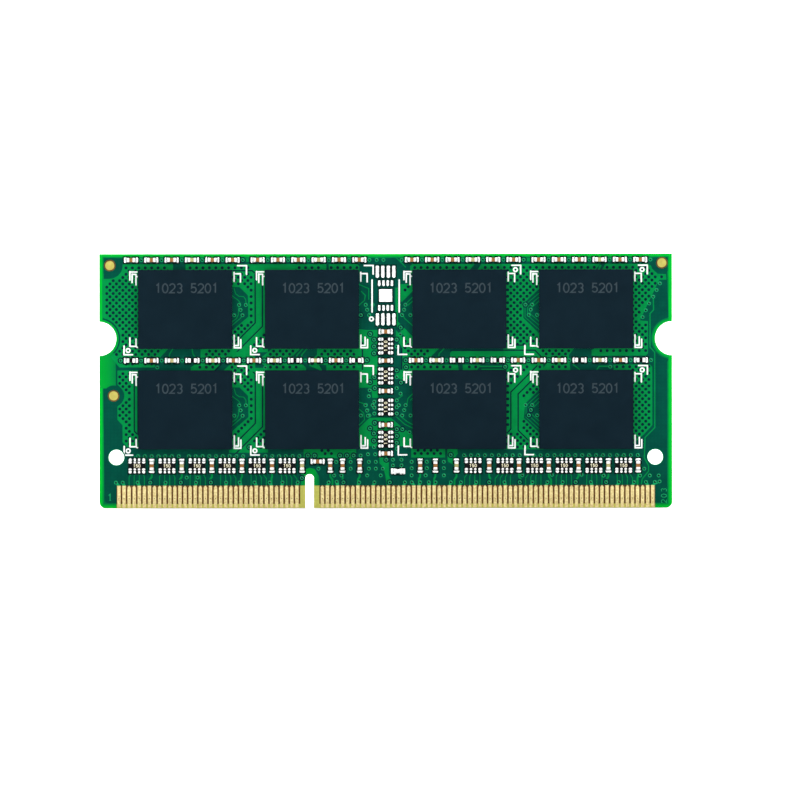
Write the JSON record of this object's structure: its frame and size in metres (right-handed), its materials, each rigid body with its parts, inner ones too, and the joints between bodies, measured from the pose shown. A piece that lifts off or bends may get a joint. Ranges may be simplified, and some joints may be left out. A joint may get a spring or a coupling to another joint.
{
  "type": "laptop memory module",
  "caption": "Small outline memory module: green circuit board with moulded memory packages on both faces, gold edge contacts with a key slot, and latch notches in its short sides.",
  "frame": {"origin": "middle of the contact edge, half way through the board's thickness", "axes": "+X along the contact edge, to the right as the front is seen; +Z from the contact edge to the top edge, so the module plugs in along -Z; the front face, with the key slot left of the middle, looks along -Y"},
  "size_m": [0.0676, 0.0032, 0.03],
  "materials": {
    "laminate": "woven glass and epoxy, cut edge",
    "solder_mask": "satin green lacquer over copper",
    "legend_ink": "matt white print",
    "gold": "thin gold plate, lightly brushed",
    "tinned_land": "bright tin solder",
    "moulding_compound": "fine matt grain",
    "silicon": "polished",
    "substrate": "thin laminate with lacquer",
    "solder": "smooth, slightly grainy",
    "tin_plate": "matt tin plate",
    "brown_ceramic": "fired ceramic",
    "tan_ceramic": "fired ceramic",
    "black_glaze": "glassy overcoat"
  },
  "bodies": {
    "root": {"pcb_laminate": "laminate", "solder_mask_front": "solder_mask", "solder_mask_back": "solder_mask", "legend_ink_front": "legend_ink", "legend_ink_back": "legend_ink", "edge_contacts_front": "gold", "edge_contacts_back": "gold", "fiducials_front": "gold", "fiducials_back": "gold", "component_lands_front": "tinned_land", "component_lands_back": "tinned_land", "dram_cover_u1": "moulding_compound", "dram_cover_u2": "moulding_compound", "dram_cover_u3": "moulding_compound", "dram_cover_u4": "moulding_compound", "dram_cover_u5": "moulding_compound", "dram_cover_u6": "moulding_compound", "dram_cover_u7": "moulding_compound", "dram_cover_u8": "moulding_compound", "dram_cover_u9": "moulding_compound", "dram_cover_u10": "moulding_compound", "dram_cover_u11": "moulding_compound", "dram_cover_u12": "moulding_compound", "dram_cover_u13": "moulding_compound", "dram_cover_u14": "moulding_compound", "dram_cover_u15": "moulding_compound", "dram_cover_u16": "moulding_compound", "dram_dies_front": "silicon", "dram_dies_back": "silicon", "dram_substrates_front": "substrate", "dram_substrates_back": "substrate", "bond_slot_seals_front": "moulding_compound", "bond_slot_seals_back": "moulding_compound", "solder_balls_front": "solder", "solder_balls_back": "solder", "spd_eeprom_cover": "moulding_compound", "spd_eeprom_die": "silicon", "spd_eeprom_leads": "tin_plate", "brown_capacitors_front": "brown_ceramic", "brown_capacitors_back": "brown_ceramic", "tan_capacitors_front": "tan_ceramic", "tan_capacitors_back": "tan_ceramic", "capacitor_terminals_front": "tin_plate", "capacitor_terminals_back": "tin_plate", "chip_resistors_front": "black_glaze", "chip_resistors_back": "black_glaze", "resistor_terminals_front": "tin_plate", "resistor_terminals_back": "tin_plate", "resistor_arrays_front": "black_glaze", "resistor_arrays_back": "black_glaze", "array_terminals_front": "tin_plate", "array_terminals_back": "tin_plate", "solder_fillets_front": "solder", "solder_fillets_back": "solder"}
  },
  "joints": []
}
